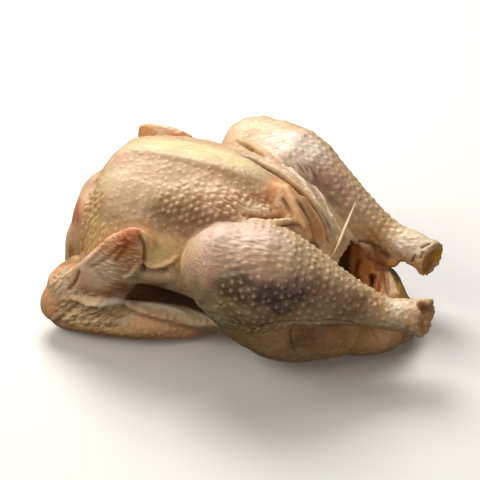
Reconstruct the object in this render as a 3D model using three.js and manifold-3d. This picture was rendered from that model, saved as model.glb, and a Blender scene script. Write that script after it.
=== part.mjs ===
// A whole plucked chicken, raw, lying on its back with the breast up.
//
// Frame, in millimetres: +X runs from the neck to the tail, +Z is up, and the bird's left side is at +Y.
// The origin is the bottom centre of the bounding box, on the surface that the bird rests on.
//
// Every muscle group is a limb: a rounded skin lofted along a spline. The limbs are joined into one solid.
// The body cavity is scooped out of it from the vent, the feet are cut off, and the underside is pressed
// flat where it rests.

import * as THREE from "three";
import { mergeVertices } from "three/addons/utils/BufferGeometryUtils.js";
import Module from "manifold-3d";

const wasm = await Module();
wasm.setup();

// ---------------------------------------------------------------------------------------------------
// Sizes
//
// A station of a limb says where its spline passes and how far the skin stands off it: wide to both sides,
// rise above and sink below, where sink is left out if it is the same as rise.
// ---------------------------------------------------------------------------------------------------

// The trunk, from the front of the breast to the vent.
const TRUNK = [
  { at: [-92, 0, 50], wide: 31, rise: 29, sink: 26 },
  { at: [-78, 0, 49], wide: 48, rise: 52, sink: 39 },
  { at: [-49, 0, 45], wide: 56, rise: 58, sink: 44 },
  { at: [-15, 0, 43], wide: 54, rise: 57, sink: 44 },
  { at: [17, 0, 40], wide: 46, rise: 48, sink: 42 },
  { at: [43, 0, 32], wide: 41, rise: 29, sink: 35 },
  { at: [61, 0, 24], wide: 37, rise: 16, sink: 26 },
];
const KEEL = { height: 3, width: 0.2 }; // the flat crest over the breastbone, as wide as a share of the trunk
const ROLL = 4; // degrees that the trunk leans to its right side

// The rump, from under the vent to the end of the tail.
const RUMP = [
  { at: [57, -1, 18], wide: 40, rise: 18, sink: 19 },
  { at: [75, -2, 15], wide: 41, rise: 16, sink: 16 },
  { at: [88, -2, 12], wide: 32, rise: 13, sink: 13 },
  { at: [96, -1, 9], wide: 19, rise: 8, sink: 9 },
];

// The loose skin of the neck, which hangs over the front of the breast down to the surface.
const NECK_SKIN = [
  { at: [-91, 0, 66], wide: 25, rise: 8 },
  { at: [-102, 0, 45], wide: 28, rise: 6.5 },
  { at: [-102.5, 0, 22], wide: 25, rise: 6 },
  { at: [-96, 0, 6], wide: 18, rise: 6 },
];

// The body cavity, from above the vent to its inner end.
const CAVITY = [
  { at: [100, -7, 58], wide: 20, rise: 17 },
  { at: [75, -5, 42], wide: 23, rise: 17 },
  { at: [45, -2, 36], wide: 22, rise: 15 },
  { at: [19, 0, 37], wide: 18, rise: 13 },
];

// The joints of each leg and wing as [along, out, up], where out is measured from the mid plane. legBow is
// how far the middle of the drumstick bows outwards and up, and legRise how far each of its stations lies
// above that bow. The foot is cut off at a plane that passes through cut and faces cutFacing. handBreadth is
// half the breadth of the wing's hand from the wrist to its tip, and handBow how far the hand bows towards
// the tail.
const RIGHT = {
  side: -1,
  hip: [57, 29, 24],
  knee: [0, 55, 66],
  ankle: [116, 33.8, 35],
  legBow: 1.5,
  legRise: [0, 0, -1.5, -2.8, -3.5, -4.6, -2.3, 0],
  cut: [111, 34, 35],
  cutFacing: [0.96, 0.25, 0.02],
  shoulder: [-85, 35, 34],
  elbow: [-26, 35, 9],
  wrist: [-99.3, 45, 14],
  wingTip: [-49.5, 54, 76.5],
  handBreadth: [13, 17, 15, 7.5],
  handBow: 3,
};
const LEFT = {
  side: 1,
  hip: [57, 29, 24],
  knee: [-8, 58, 72.5],
  ankle: [112.8, 22, 33.7],
  legBow: -0.3,
  legRise: [0, 0, -0.5, -1, -1.5, -0.8, 1.6, 0],
  cut: [105.2, 23.6, 35.2],
  cutFacing: [0.9, -0.5, -0.1],
  shoulder: [-85, 35, 34],
  elbow: [-26, 38, 9],
  wrist: [-93, 48, 15],
  wingTip: [-64, 52, 83],
  handBreadth: [17, 17, 18, 19],
  handBow: 7,
};

// How thick each limb is along the way from one joint to the next. share is the part of the way, shift how
// far the spline passes off the straight line as [along, out, up], and girth the radius, or half the width
// and half the height.
const THIGH = [
  { share: 0, shift: [6, -3, -8], girth: 27 },
  { share: 0.5, shift: [0, -1, -11], girth: 30.5 },
  { share: 1, shift: [0, 0, 0], girth: 25 },
];
const DRUMSTICK = [
  { share: 0, girth: 25 },
  { share: 0.17, girth: 30 },
  { share: 0.4, girth: 22 },
  { share: 0.55, girth: 15 },
  { share: 0.66, girth: 11 },
  { share: 0.76, girth: 9 },
  { share: 0.86, girth: 9.8 },
  { share: 1, girth: 11.7 },
];
const UPPER_WING = [
  { share: 0, shift: [0, 0, -2], girth: 13 },
  { share: 0.5, shift: [0, -6, -7], girth: 10 },
  { share: 1, shift: [0, 0, 0], girth: 9 },
];
const FOREARM = [
  { share: 0, shift: [0, 0, 0], girth: [9, 9] },
  { share: 0.35, shift: [0, 2, 0], girth: [14, 10.5] },
  { share: 0.7, shift: [0, 2, 0], girth: [14, 11] },
  { share: 1, shift: [0, 0, 0], girth: [12, 13] },
];
const HAND = [
  { share: 0, bulge: 0, thickness: 8 },
  { share: 0.4, bulge: 3, thickness: 6.5 },
  { share: 0.75, bulge: 2, thickness: 5 },
  { share: 1, bulge: 0, thickness: 4 },
];

// The heel of the hand, which stands up from the wrist, as [along, out, up] and a girth.
const WRIST = [
  { place: [-101.9, 46, 16], girth: 12.5 },
  { place: [-99.2, 43, 30], girth: 11.5 },
  { place: [-92, 40, 40], girth: 8 },
];

// The skin that spans the bend of the wrist, between the hand and the forearm.
const WING_WEB = [
  { place: [-92, 47, 24], girth: [8, 11] },
  { place: [-79, 50, 28], girth: [7, 10] },
  { place: [-68, 50, 30], girth: [5, 7] },
];

// The hollow between the folded wing and the body, as [along, out, up] and a girth.
const WING_GAP = [
  { place: [-66, 55, 36], girth: [11, 6] },
  { place: [-55, 56, 36], girth: [16, 9] },
  { place: [-42, 57, 34], girth: [19, 12] },
  { place: [-24, 56, 29], girth: [18, 12] },
  { place: [-6, 55, 24], girth: [12, 9] },
];

// The skin between the inside of the leg and the corner of the vent, as [along, out, up] and a girth.
const WEB = [
  { place: [1, 38, 66], girth: [10, 10] },
  { place: [23, 33, 60], girth: [13, 11] },
  { place: [39, 27, 49], girth: [11, 9] },
  { place: [53, 21, 37], girth: [8, 6] },
  { place: [68, 23, 33], girth: [7, 6] },
  { place: [81, 23, 33], girth: [5, 5] },
];

// The thick folds of loose skin between the breast, the legs and the vent, each with its half thickness.
const FOLDS = [
  {
    girth: 6.5,
    path: [[10, -5, 90], [18, -5, 89], [25, -8, 86], [31, -13, 82], [36, -17, 77], [40, -20, 69]],
  },
  {
    girth: 5,
    path: [[17, -40, 82], [23, -32, 80], [28, -24, 79], [33, -18, 78]],
  },
  {
    girth: 4.5,
    path: [[23, -3, 87], [31, -4, 82], [38, -6, 76], [44, -8, 70], [48, -12, 63]],
  },
  {
    girth: 4,
    path: [[-14, 15, 96], [5, 9, 94], [20, 6, 89], [30, 1, 84], [39, -3, 77], [47, -5, 69], [51, -11, 60]],
  },
];

// ---------------------------------------------------------------------------------------------------
// Lofting
// ---------------------------------------------------------------------------------------------------

const UP = new THREE.Vector3(0, 0, 1);
const CAP_STEPS = 4; // rings in each domed end of a limb

// How far a rounded square stands out, against a circle, in the direction of x and z.
function swell(x, z, squareness) {
  const reach = (Math.abs(x) ** squareness + Math.abs(z) ** squareness) ** (1 / squareness);
  return reach > 0 ? Math.hypot(x, z) / reach : 1;
}

// A rounded skin along a spline through its stations. Above is towards the vector top. The ends close in
// domes of the given lengths, ridge raises a flat crest along the top, and squareness gives the section
// above and below its widest level, from 2 for an ellipse.
function limb(stations, options = {}) {
  const { around = 16, along = 6, domes = [10, 10], top = UP, ridge = null, squareness = [2, 2] } = options;
  const spine = new THREE.CatmullRomCurve3(stations.map((s) => new THREE.Vector3(...s.at)));
  const girth = new THREE.CatmullRomCurve3(
    stations.map((s) => new THREE.Vector3(s.wide, s.rise, s.sink ?? s.rise)),
  );
  const geometry = new THREE.CapsuleGeometry(1, 1, CAP_STEPS, around, along);
  const position = geometry.getAttribute("position");
  const ring = new THREE.Vector3();
  for (let i = 0; i < position.count; i += 1) {
    ring.fromBufferAttribute(position, i);
    const t = THREE.MathUtils.clamp(ring.y + 0.5, 0, 1);
    const beyond = Math.max(Math.abs(ring.y) - 0.5, 0) * domes[ring.y < 0 ? 0 : 1] * Math.sign(ring.y);
    const ahead = spine.getTangent(t);
    const side = new THREE.Vector3().crossVectors(ahead, top).normalize();
    const above = new THREE.Vector3().crossVectors(side, ahead);
    const size = girth.getPoint(t);
    const crest = ridge ? ridge.height * Math.exp(-((ring.x / ridge.width) ** 4)) : 0;
    const height = ring.z > 0 ? size.y + crest : size.z;
    const stretch = swell(ring.x, ring.z, squareness[ring.z > 0 ? 0 : 1]);
    const place = spine
      .getPoint(t)
      .addScaledVector(ahead, beyond)
      .addScaledVector(side, ring.x * size.x * stretch)
      .addScaledVector(above, ring.z * height * stretch);
    position.setXYZ(i, place.x, place.y, place.z);
  }
  return solidFrom(geometry);
}

// A three.js geometry as a solid that can be joined and cut.
function solidFrom(geometry) {
  geometry.deleteAttribute("normal");
  geometry.deleteAttribute("uv");
  const merged = mergeVertices(geometry, 1e-3);
  return new wasm.Manifold(
    new wasm.Mesh({
      numProp: 3,
      vertProperties: new Float32Array(merged.getAttribute("position").array),
      triVerts: new Uint32Array(merged.index.array),
    }),
  );
}

// A solid back as a three.js geometry.
function geometryFrom(solid) {
  const mesh = solid.getMesh();
  const geometry = new THREE.BufferGeometry();
  const corners = new Float32Array(mesh.numVert * 3);
  for (let i = 0; i < mesh.numVert; i += 1) {
    corners.set(mesh.vertProperties.subarray(i * mesh.numProp, i * mesh.numProp + 3), i * 3);
  }
  geometry.setAttribute("position", new THREE.BufferAttribute(corners, 3));
  geometry.setIndex(new THREE.BufferAttribute(new Uint32Array(mesh.triVerts), 1));
  return geometry;
}

// A station at a place given as [along, out, up], on the side of the bird that is meant.
function station(bones, [along, out, up], girth) {
  const [wide, rise] = [girth].flat();
  return { at: [along, out * bones.side, up], wide, rise: rise ?? wide };
}

// The point a share of the way from one joint to another, moved by shift.
function between(from, to, share, shift = [0, 0, 0]) {
  return from.map((value, axis) => value + (to[axis] - value) * share + shift[axis]);
}

// The stations of a limb that runs from one joint to another.
function stationsAlong(bones, from, to, profile) {
  return profile.map(({ share, shift, girth }) =>
    station(bones, between(bones[from], bones[to], share, shift), girth),
  );
}

// ---------------------------------------------------------------------------------------------------
// Parts of the bird
// ---------------------------------------------------------------------------------------------------

function trunk() {
  const lean = THREE.MathUtils.degToRad(ROLL);
  const top = new THREE.Vector3(0, -Math.sin(lean), Math.cos(lean));
  return limb(TRUNK, { around: 34, along: 20, domes: [14, 12], top, ridge: KEEL, squareness: [2.25, 2.5] });
}

function rump() {
  return limb(RUMP, { around: 18, domes: [10, 7], squareness: [2, 3] });
}

function neckSkin() {
  return limb(NECK_SKIN, { around: 14, domes: [8, 4], top: new THREE.Vector3(-1, 0, 0) });
}

function thigh(bones) {
  return limb(stationsAlong(bones, "knee", "hip", THIGH), { around: 18, along: 8, domes: [24, 20] });
}

function drumstick(bones) {
  const bowed = DRUMSTICK.map(({ share, girth }, i) => {
    const bow = bones.legBow * Math.sin(Math.PI * share);
    return { share, shift: [0, bow, bow + bones.legRise[i]], girth };
  });
  return limb(stationsAlong(bones, "knee", "ankle", bowed), { around: 24, along: 15, domes: [24, 4] });
}

function wingGap(bones) {
  return limb(WING_GAP.map(({ place, girth }) => station(bones, place, girth)), { around: 12, along: 8 });
}

function web(bones) {
  return limb(WEB.map(({ place, girth }) => station(bones, place, girth)), { around: 14, domes: [12, 6] });
}

function wingWeb(bones) {
  const stations = WING_WEB.map(({ place, girth }) => station(bones, place, girth));
  return limb(stations, { around: 10, along: 4, domes: [6, 5] });
}

function upperWing(bones) {
  const stations = stationsAlong(bones, "shoulder", "elbow", UPPER_WING);
  return limb(stations, { around: 10, along: 3, domes: [12, 8] });
}

function forearm(bones) {
  return limb(stationsAlong(bones, "elbow", "wrist", FOREARM), { domes: [8, 11] });
}

function wrist(bones) {
  const stations = WRIST.map(({ place, girth }) => station(bones, place, girth));
  return limb(stations, { around: 14, along: 4, domes: [10, 8] });
}

function hand(bones) {
  const blade = HAND.map(({ share, bulge, thickness }, i) => {
    const bow = bones.handBow * Math.sin(Math.PI * share);
    return { share, shift: [bow, bulge, 0], girth: [bones.handBreadth[i], thickness] };
  });
  const outwards = new THREE.Vector3(0, bones.side, 0);
  return limb(stationsAlong(bones, "wrist", "wingTip", blade), { domes: [12, 6], top: outwards });
}

// A fold of skin, thickest in the middle of its path.
function fold({ path, girth }) {
  const last = path.length - 1;
  const stations = path.map((at, i) => {
    const thickness = girth * (0.6 + 0.4 * Math.sin((Math.PI * i) / last));
    return { at, wide: thickness, rise: thickness };
  });
  return limb(stations, { around: 10, along: 9, domes: [girth, girth] });
}

function cavity() {
  return limb(CAVITY, { around: 18, domes: [8, 12] });
}

// What is cut off where the foot was: everything just beyond the plane of the cut.
function footBlock(bones) {
  const breadth = 40;
  const depth = 20;
  const facing = new THREE.Vector3(...bones.cutFacing).normalize();
  facing.y *= bones.side;
  const [along, out, up] = bones.cut;
  const block = new THREE.BoxGeometry(breadth, breadth, depth);
  block.translate(0, 0, depth / 2);
  block.applyQuaternion(new THREE.Quaternion().setFromUnitVectors(UP, facing));
  block.translate(along, out * bones.side, up);
  return solidFrom(block);
}

// Everything below the surface that the bird rests on.
function floorBlock() {
  const breadth = 600;
  const depth = 100;
  const block = new THREE.BoxGeometry(breadth, breadth, depth);
  block.translate(0, 0, -depth / 2);
  return solidFrom(block);
}

// ---------------------------------------------------------------------------------------------------
// The whole bird
// ---------------------------------------------------------------------------------------------------

function chicken() {
  const limbs = [RIGHT, LEFT].flatMap((bones) => [
    thigh(bones),
    drumstick(bones),
    web(bones),
    upperWing(bones),
    forearm(bones),
    wrist(bones),
    wingWeb(bones),
    hand(bones),
  ]);
  const body = trunk().subtract(wingGap(RIGHT)).subtract(wingGap(LEFT));
  const pieces = [rump(), neckSkin(), ...limbs, ...FOLDS.map(fold)];
  const joined = pieces.reduce((sum, next) => sum.add(next), body);
  const cuts = [cavity(), footBlock(RIGHT), footBlock(LEFT), floorBlock()];
  const geometry = geometryFrom(cuts.reduce((rest, cut) => rest.subtract(cut), joined));
  geometry.computeBoundingBox();
  const { min, max } = geometry.boundingBox;
  geometry.translate(-(min.x + max.x) / 2, -(min.y + max.y) / 2, -min.z);
  return geometry;
}

const skin = new THREE.MeshStandardMaterial({ color: 0xd9b48f, roughness: 0.5, metalness: 0 });

const bird = new THREE.Group();
const body = new THREE.Mesh(chicken(), skin);
body.name = "chicken";
bird.add(body);

export default bird;
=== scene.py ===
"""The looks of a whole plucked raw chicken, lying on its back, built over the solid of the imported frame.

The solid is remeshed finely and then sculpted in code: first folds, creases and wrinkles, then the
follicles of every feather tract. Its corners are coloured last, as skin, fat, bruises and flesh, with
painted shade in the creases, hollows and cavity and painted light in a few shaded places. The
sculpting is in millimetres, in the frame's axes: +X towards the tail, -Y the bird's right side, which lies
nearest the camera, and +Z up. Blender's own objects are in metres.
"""

import itertools
import math
from typing import NamedTuple

import bpy
import numpy as np
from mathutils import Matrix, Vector
from mathutils.kdtree import KDTree


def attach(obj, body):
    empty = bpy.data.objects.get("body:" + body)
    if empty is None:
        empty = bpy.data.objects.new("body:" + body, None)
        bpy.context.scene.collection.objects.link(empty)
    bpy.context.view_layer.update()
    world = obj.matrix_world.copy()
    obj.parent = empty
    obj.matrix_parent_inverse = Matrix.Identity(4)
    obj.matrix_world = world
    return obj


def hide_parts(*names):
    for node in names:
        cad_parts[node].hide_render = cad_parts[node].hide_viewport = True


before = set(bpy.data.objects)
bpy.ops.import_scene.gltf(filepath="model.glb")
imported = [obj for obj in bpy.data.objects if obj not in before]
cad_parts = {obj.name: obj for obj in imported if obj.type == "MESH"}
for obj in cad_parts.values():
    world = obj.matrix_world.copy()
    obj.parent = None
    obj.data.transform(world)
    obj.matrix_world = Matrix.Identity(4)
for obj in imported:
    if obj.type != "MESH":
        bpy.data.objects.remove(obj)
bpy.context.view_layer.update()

MM = 0.001
SEED = 7
NODE = "chicken"
BODY = "root"

# ---- The bird's build, as the frame's solid has it ----

# The trunk from the breast to the vent: x and z of its axis, half width, rise and sink.
TRUNK = [
    (-92, 50, 31, 29, 26), (-78, 49, 48, 52, 39), (-49, 45, 56, 58, 44), (-15, 43, 54, 57, 44),
    (17, 40, 46, 48, 42), (43, 32, 41, 29, 35), (61, 24, 37, 16, 26),
]
ROLL = math.radians(4)  # the trunk leans to its right side
RUMP = [(57, 18, 40, 18, 19), (75, 15, 41, 16, 16), (88, 12, 32, 13, 13), (96, 9, 19, 8, 9)]
NECK_SKIN = [(-91, 66, 25, 8, 8), (-102, 45, 28, 6.5, 6.5), (-102.5, 22, 25, 6, 6), (-96, 6, 18, 6, 6)]
# The body cavity, from the vent inwards, with y as well.
CAVITY = [
    (100, -7, 58, 20, 17, 17), (75, -5, 42, 23, 17, 17),
    (45, -2, 36, 22, 15, 15), (19, 0, 37, 18, 13, 13),
]

# Each side's joints. The feet are cut off at planes through cut, which face cut_facing. leg_rise lifts the
# stations of the drumstick, and hand gives the half widths of the wing's hand.
RIGHT = {
    "side": -1,
    "hip": (57, -29, 24), "knee": (0, -55, 66), "ankle": (116, -34, 35),
    "leg_rise": (0, 0, -1.5, -2.8, -3.5, -4.6, -2.3, 0),
    "cut": (111, -34, 35), "cut_facing": (0.96, -0.25, 0.02), "cup_depth": 3.0,
    "shoulder": (-85, -35, 34), "elbow": (-26, -35, 9), "wrist": (-99, -45, 14),
    "wingtip": (-49.5, -54, 76.5), "hand": (13, 17, 15, 7.5),
}
LEFT = {
    "side": 1,
    "hip": (57, 29, 24), "knee": (-8, 58, 72.5), "ankle": (113, 22, 34),
    "leg_rise": (0, 0, -0.5, -1, -1.5, -0.8, 1.6, 0),
    "cut": (105, 23.5, 35), "cut_facing": (0.9, -0.5, -0.1), "cup_depth": 2.0,
    "shoulder": (-85, 35, 34), "elbow": (-26, 38, 9), "wrist": (-93, 48, 15),
    "wingtip": (-64, 52, 83), "hand": (17, 17, 18, 19),
}
# The skin that spans the bend of the right wing, and the hollow behind that wing.
WING_WEB = [(-92, -47, 24, 8, 11, 11), (-79, -50, 28, 7, 10, 10), (-68, -50, 30, 5, 7, 7)]
WING_GAP = [
    (-66, -55, 36, 11, 6, 6), (-55, -56, 36, 16, 9, 9), (-42, -57, 34, 19, 12, 12),
    (-24, -56, 29, 18, 12, 12), (-6, -55, 24, 12, 9, 9),
]
# Along each limb: share of the way, half width and half height, or for the hand the last alone.
THIGH = [(0.3, 28, 28), (0.5, 30.5, 30.5), (1, 27, 27)]
DRUMSTICK = [
    (0, 25, 25), (0.17, 30, 30), (0.4, 22, 22), (0.55, 15, 15),
    (0.66, 11, 11), (0.76, 9, 9), (0.86, 9.8, 9.8), (1, 11.7, 11.7),
]
UPPER_WING = [(0, 13, 13), (0.5, 10, 10), (1, 9, 9)]
FOREARM = [(0, 9, 9), (0.35, 14, 10.5), (0.7, 14, 11), (1, 12, 13)]
HAND_THICKNESS = [(0, 8), (0.4, 6.5), (0.75, 5), (1, 4)]


# ---- Small tools ----


def rgb(red, green, blue):
    """A colour given as 0 to 255 on a screen, as linear light."""
    shares = np.array([red, green, blue], float) / 255
    return np.where(shares <= 0.04045, shares / 12.92, ((shares + 0.055) / 1.055) ** 2.4)


def ramp(values, low, high):
    """A smooth step from 0 at low to 1 at high, which may lie the other way round."""
    t = np.clip((values - low) / (high - low), 0, 1)
    return t * t * (3 - 2 * t)


def unit(vectors):
    vectors = np.asarray(vectors, float)
    return vectors / np.maximum(np.linalg.norm(vectors, axis=-1, keepdims=True), 1e-12)


PERMUTATION = np.random.default_rng(SEED).permutation(256)
GRADIENTS = unit(np.random.default_rng(SEED + 1).normal(size=(256, 3)))
LAYER_STEP = 19.19  # cells between two layers
NOISE_GAIN = 1.6


def noise(points, size, layer):
    """Smooth noise of about -1 to 1, with features of the given size and a pattern for each layer."""
    scaled = points / size + layer * LAYER_STEP
    cell = np.floor(scaled).astype(int)
    within = scaled - cell
    fade = within**3 * (within * (within * 6 - 15) + 10)
    total = np.zeros(len(points))
    for corner in itertools.product((0, 1), repeat=3):
        x, y, z = (cell + corner).T & 255
        pick = PERMUTATION[(PERMUTATION[(PERMUTATION[x] + y) & 255] + z) & 255]
        weight = np.prod(np.where(corner, fade, 1 - fade), axis=1)
        total += weight * np.einsum("ij,ij->i", within - corner, GRADIENTS[pick])
    return total * NOISE_GAIN


def layered_noise(points, size, layer, octaves=3):
    return sum(noise(points, size / 2**i, layer + i) / 2**i for i in range(octaves))


def streaks(points, axis, length, width, layer):
    """Noise whose features are drawn out along an axis, to the given length and width."""
    axis = unit(axis)
    squeezed = points / width + np.outer(points @ axis, axis) * (1 / length - 1 / width)
    return layered_noise(squeezed, 1, layer, 2)


def swells(values):
    """Smooth noise turned into round swells that meet in narrow furrows."""
    return 2 * np.abs(values) - 0.5


def shaken(points, size, amount, layer):
    """The points moved about smoothly, which gives what is laid out on them an uneven edge."""
    return points + amount * np.stack([noise(points, size, layer + axis) for axis in range(3)], axis=1)


def spot(points, centre, radii, edge=(1, 0.3)):
    """A soft round mask about a point, from 0 to 1 between the two shares of its radii."""
    return ramp(np.linalg.norm((points - centre) / radii, axis=1), *edge)


def fetched(items, name, kind, width):
    """A property of all the items of a mesh, as rows of the given width."""
    values = np.empty(len(items) * width, kind)
    items.foreach_get(name, values)
    return values.reshape(-1, width)


class Surface:
    """A mesh of quads as arrays, with its corners in millimetres."""

    def __init__(self, mesh):
        self.mesh = mesh
        self.places = fetched(mesh.vertices, "co", np.float32, 3).astype(float) / MM
        self.faces = fetched(mesh.loops, "vertex_index", np.int32, 1).reshape(-1, 4)
        self.starts, self.ends = fetched(mesh.edges, "vertices", np.int32, 2).T
        self.valence = np.bincount(np.hstack([self.starts, self.ends]), minlength=len(self.places))

    def around(self, values):
        """The mean of each corner's neighbours."""
        if values.ndim == 2:
            return np.stack([self.around(column) for column in values.T], axis=1)
        count = len(values)
        total = np.bincount(self.starts, values[self.ends], count)
        total += np.bincount(self.ends, values[self.starts], count)
        return total / self.valence

    def blurred(self, values, rounds):
        for _ in range(rounds):
            values = (values + self.around(values)) / 2
        return values

    def evened(self, rounds):
        """The places with facets and steps smoothed away, without shrinking the form."""
        places = self.places
        for _ in range(rounds):
            for share in (0.5, -0.53):
                places = places + share * (self.around(places) - places)
        return places

    def normals(self):
        a, b, c, d = (self.places[self.faces[:, i]] for i in range(4))
        facing = np.cross(c - a, d - b)
        total = np.zeros_like(self.places)
        for axis in range(3):
            for i in range(4):
                total[:, axis] += np.bincount(self.faces[:, i], facing[:, axis], len(total))
        return unit(total)

    def hollowness(self, rounds):
        """How far each corner lies below the mean of what surrounds it."""
        return np.einsum("ij,ij->i", self.blurred(self.places, rounds) - self.places, self.normals())

    def store(self):
        self.mesh.vertices.foreach_set("co", (self.places * MM).astype(np.float32).ravel())
        self.mesh.update()


class Limb:
    """A rounded form along stations of (x, y, z, half width, rise, sink), rise being towards top."""

    def __init__(self, stations, top=(0, 0, 1)):
        self.stations = np.array(stations, float)
        self.top = top
        steps = np.linalg.norm(np.diff(self.stations[:, :3], axis=0), axis=1)
        self.shares = np.concatenate([[0], np.cumsum(steps)]) / steps.sum()
        self.length = steps.sum()

    def axes(self, ahead):
        side = unit(np.cross(ahead, self.top))
        return side, np.cross(side, ahead)

    def outside(self, points):
        """How far points lie outside the form, negative within it."""
        outside = np.full(len(points), np.inf)
        for start, end in itertools.pairwise(self.stations):
            axis = end[:3] - start[:3]
            length = np.linalg.norm(axis)
            ahead = axis / length
            side, above = self.axes(ahead)
            t = np.clip((points - start[:3]) @ ahead / length, 0, 1)
            offset = points - start[:3] - t[:, None] * axis
            size = start[3:] + t[:, None] * (end[3:] - start[3:])
            across, up, beyond = offset @ side, offset @ above, offset @ ahead
            height = np.where(up > 0, size[:, 1], size[:, 2])
            mean = (size[:, 0] + height) / 2
            reach = np.sqrt((across / size[:, 0]) ** 2 + (up / height) ** 2 + (beyond / mean) ** 2)
            outside = np.minimum(outside, (reach - 1) * mean)
        return outside

    def at(self, share):
        """The axis point, its side and top directions and the sizes, at a share of the way."""
        values = [np.interp(share, self.shares, column) for column in self.stations.T]
        i = min(np.searchsorted(self.shares, share, side="right"), len(self.shares) - 1)
        ahead = unit(self.stations[i, :3] - self.stations[i - 1, :3])
        side, above = self.axes(ahead)
        return np.array(values[:3]), side, above, values[3:]

    def skin_point(self, share, angle):
        """The form's surface at an angle, which is a quarter turn at the top."""
        centre, side, above, (wide, rise, sink) = self.at(share)
        height = rise if math.sin(angle) > 0 else sink
        return centre - side * wide * math.cos(angle) + above * height * math.sin(angle)

    def girth(self, share):
        wide, rise, sink = self.at(share)[3]
        return math.pi * (wide + (rise + sink) / 2)


def level_limb(rows, top=(0, 0, 1)):
    """A limb in the mid plane, from rows of (x, z, half width, rise, sink)."""
    return Limb([(x, 0, z, *sizes) for x, z, *sizes in rows], top)


def jointed_limb(bones, start, end, profile, shifts=None, top=(0, 0, 1)):
    """A limb between two joints. Shifts move its stations, with +Y taken outwards."""
    stations = []
    start, end = np.array(bones[start]), np.array(bones[end])
    for i, (share, wide, rise) in enumerate(profile):
        place = start + share * (end - start)
        if shifts:
            place = place + np.array(shifts[i]) * (1, bones["side"], 1)
        stations.append((*place, wide, rise, rise))
    return Limb(stations, top)


def limbs_of_side(bones, name):
    blade = [(share, wide, thick) for wide, (share, thick) in zip(bones["hand"], HAND_THICKNESS)]
    plans = {
        "thigh": ("knee", "hip", THIGH, [(0, -1, -9), (0, -1, -11), (6, -3, -8)]),
        "drumstick": ("knee", "ankle", DRUMSTICK, [(0, 0, rise) for rise in bones["leg_rise"]]),
        "upper wing": ("shoulder", "elbow", UPPER_WING, [(0, 0, -2), (0, -6, -7), (0, 0, 0)]),
        "forearm": ("elbow", "wrist", FOREARM),
        "hand": ("wrist", "wingtip", blade, None, (0, bones["side"], 0)),
    }
    return {f"{name} {part}": jointed_limb(bones, *plan) for part, plan in plans.items()}


LIMBS = {
    "trunk": level_limb(TRUNK, top=(0, -math.sin(ROLL), math.cos(ROLL))),
    "rump": level_limb(RUMP),
    "neck skin": level_limb(NECK_SKIN, top=(-1, 0, 0)),
    **limbs_of_side(RIGHT, "right"),
    **limbs_of_side(LEFT, "left"),
    "wing web": Limb(WING_WEB),
}


# ---- The even skin ----

VOXEL = 1.25  # mm between corners before the last halving
CREASE_DEPTH = 0.5  # mm of hollowness that marks a real crease between limbs
SKIN_ROUNDS = 24  # of smoothing, away from the creases
CREASE_ROUNDS = 5
# Between which distances a corner passes into the inside of the bird, the cavity and the wing's hollow.
BELOW_SKIN = (-4, -7)
NEAR_CAVITY = (5, 2)
NEAR_GAP = (3, 0.5)
GAP_FLOOR = (18.5, 20.5)  # the heights between which that hollow begins, at x = 0
GAP_SLOPE = 0.15  # how they fall towards the tail


def placed(name, data):
    piece = bpy.data.objects.new(name, data)
    bpy.context.scene.collection.objects.link(piece)
    return piece


def modified(mesh, kind, **settings):
    """A new mesh: the given one after one modifier."""
    piece = placed("workpiece", mesh)
    modifier = piece.modifiers.new("step", kind)
    for name, value in settings.items():
        setattr(modifier, name, value)
    bpy.context.view_layer.update()
    result = bpy.data.meshes.new_from_object(piece.evaluated_get(bpy.context.evaluated_depsgraph_get()))
    bpy.data.objects.remove(piece)
    return result


def even_skin():
    """The solid's form without its facets, with the creases between the limbs kept."""
    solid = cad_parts[NODE].data.copy()
    coarse = Surface(modified(solid, "REMESH", mode="VOXEL", voxel_size=VOXEL * MM))
    creases = coarse.blurred(ramp(coarse.hollowness(3), CREASE_DEPTH / 2, CREASE_DEPTH), 2)[:, None]
    smooth = coarse.evened(SKIN_ROUNDS)
    coarse.places = smooth + creases * (coarse.evened(CREASE_ROUNDS) - smooth)
    coarse.store()
    return Surface(modified(coarse.mesh, "SUBSURF", levels=1))


class Regions:
    """Which limb each corner of the skin belongs to, and whether it is inside the cavity or the gap."""

    def __init__(self, places):
        self.outside = {name: limb.outside(places) for name, limb in LIMBS.items()}
        self.nearest = np.min(list(self.outside.values()), axis=0)
        self.inside = ramp(self.nearest, *BELOW_SKIN) * ramp(Limb(CAVITY).outside(places), *NEAR_CAVITY)
        wing = np.max([self.share(name, 8) for name in ("right hand", "right forearm", "wing web")], axis=0)
        above = ramp(places[:, 2] + GAP_SLOPE * places[:, 0], *GAP_FLOOR)
        self.gap = ramp(Limb(WING_GAP).outside(places), *NEAR_GAP) * (1 - wing) * above

    def share(self, name, blur=3.0):
        """How far each corner belongs to a limb, from 0 to 1, fading across its border."""
        return ramp(self.outside[name] - self.nearest, blur, 0) * (1 - self.inside)


# ---- Drawing on the skin ----


def smooth_path(path, steps=6):
    """Points on a smooth curve through a path."""
    path = np.array(path, float)
    padded = np.vstack([2 * path[0] - path[1], path, 2 * path[-1] - path[-2]])
    t = np.linspace(0, 1, steps, endpoint=False)[:, None]
    runs = []
    for a, b, c, d in zip(padded, padded[1:], padded[2:], padded[3:]):
        runs.append(b + 0.5 * t * (c - a + t * (2 * a - 5 * b + 4 * c - d + t * (3 * (b - c) + d - a))))
    return np.vstack([*runs, path[-1:]])


class Canvas:
    """The skin as it is drawn on: its corners, the way each faces, and a finder of the nearest."""

    def __init__(self, surface):
        self.places = surface.places.copy()
        self.normals = surface.normals()
        self.tree = KDTree(len(self.places))
        for i, place in enumerate(self.places):
            self.tree.insert(place, i)
        self.tree.balance()

    def laid(self, path):
        """A smooth path brought down onto the skin."""
        path = np.array([self.tree.find(point)[0] for point in smooth_path(path)])
        for _ in range(3):
            path[1:-1] = (path[:-2] + 2 * path[1:-1] + path[2:]) / 4
        return path


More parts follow.
